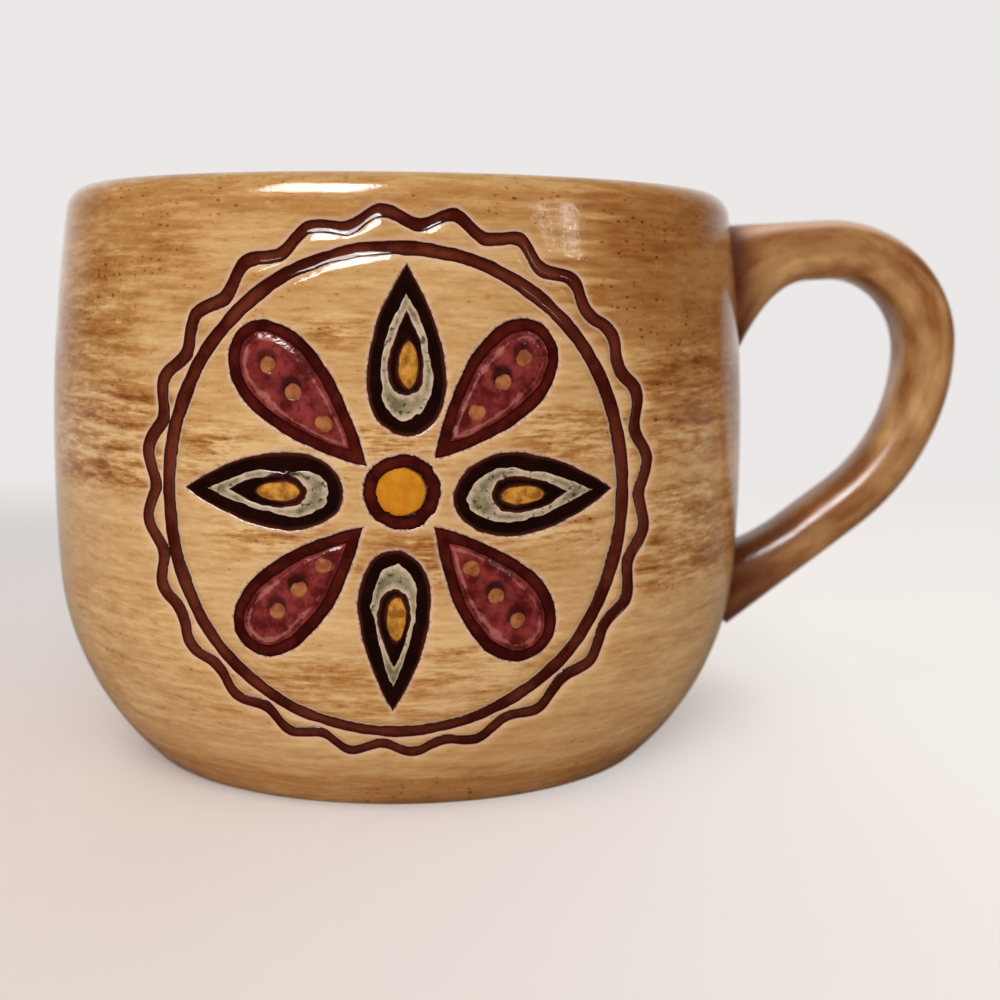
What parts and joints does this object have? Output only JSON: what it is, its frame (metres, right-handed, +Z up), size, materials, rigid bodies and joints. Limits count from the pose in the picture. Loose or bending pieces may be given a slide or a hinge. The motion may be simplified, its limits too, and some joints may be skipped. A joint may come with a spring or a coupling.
{
  "type": "earthenware cup",
  "caption": "Squat barrel-shaped glazed earthenware cup with a loop handle, a recessed foot and a carved petal rosette filled with coloured glaze.",
  "frame": {"origin": "centre of the foot, on the table", "axes": "+Z up along the cup's axis, +X towards the handle, -Y out of the rosette"},
  "size_m": [0.1198, 0.0904, 0.073],
  "materials": {
    "smear_glaze": "glossy tan glaze, brushed in streaks",
    "line_glaze": "glossy maroon-brown glaze",
    "dark_glaze": "glossy brown-black glaze",
    "grey_glaze": "glossy speckled blue-grey glaze",
    "red_glaze": "glossy dark red glaze",
    "amber_glaze": "glossy amber glaze"
  },
  "bodies": {
    "root": {"cup_body": "smear_glaze", "handle": "smear_glaze", "border_line": "line_glaze", "ring_line": "line_glaze", "centre_line": "line_glaze", "centre_disc": "amber_glaze", "grey_line_top": "dark_glaze", "grey_petal_top": "grey_glaze", "core_line_top": "dark_glaze", "amber_core_top": "amber_glaze", "grey_line_right": "dark_glaze", "grey_petal_right": "grey_glaze", "core_line_right": "dark_glaze", "amber_core_right": "amber_glaze", "grey_line_bottom": "dark_glaze", "grey_petal_bottom": "grey_glaze", "core_line_bottom": "dark_glaze", "amber_core_bottom": "amber_glaze", "grey_line_left": "dark_glaze", "grey_petal_left": "grey_glaze", "core_line_left": "dark_glaze", "amber_core_left": "amber_glaze", "red_line_upper_right": "line_glaze", "red_petal_upper_right": "red_glaze", "amber_dots_upper_right": "amber_glaze", "red_line_lower_right": "line_glaze", "red_petal_lower_right": "red_glaze", "amber_dots_lower_right": "amber_glaze", "red_line_lower_left": "line_glaze", "red_petal_lower_left": "red_glaze", "amber_dots_lower_left": "amber_glaze", "red_line_upper_left": "line_glaze", "red_petal_upper_left": "red_glaze", "amber_dots_upper_left": "amber_glaze"}
  },
  "joints": []
}
